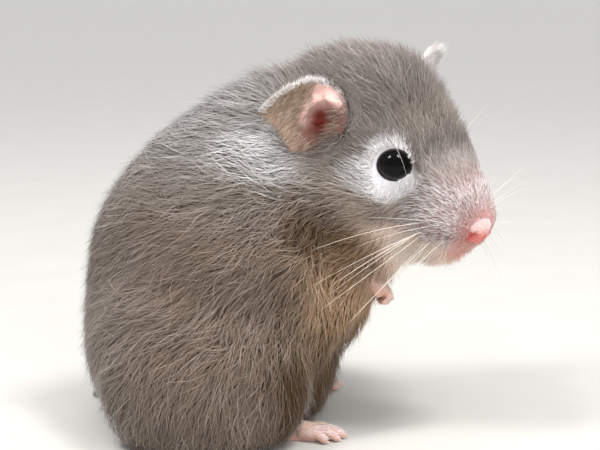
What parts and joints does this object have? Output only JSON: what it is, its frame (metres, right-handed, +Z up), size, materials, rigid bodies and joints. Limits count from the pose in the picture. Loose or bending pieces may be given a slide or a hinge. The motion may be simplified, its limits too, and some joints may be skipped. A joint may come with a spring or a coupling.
{
  "type": "syrian hamster",
  "caption": "Long-haired grey Syrian hamster sitting on its haunches, back arched, head turned to its right, forepaws held under the chin.",
  "frame": {"origin": "middle of the base of the whole animal's box, on the floor", "axes": "+X the way the body faces, +Y the animal's left side, +Z up"},
  "size_m": [0.0754, 0.0588, 0.0692],
  "materials": {
    "coat": "soft long grey-brown hair, matt",
    "bare_skin": "thin pink skin with fine down",
    "eye": "wet, near-black, mirror-smooth"
  },
  "bodies": {
    "root": {"head": "coat", "neck": "coat", "trunk": "coat", "tail": "coat", "foreleg_left": "coat", "foreleg_right": "coat", "hind_leg_left": "coat", "hind_leg_right": "coat", "ear_left": "bare_skin", "ear_right": "bare_skin", "nose": "bare_skin", "forepaw_left": "bare_skin", "forepaw_right": "bare_skin", "hind_foot_left": "bare_skin", "hind_foot_right": "bare_skin", "eye_left": "eye", "eye_right": "eye"}
  },
  "joints": []
}
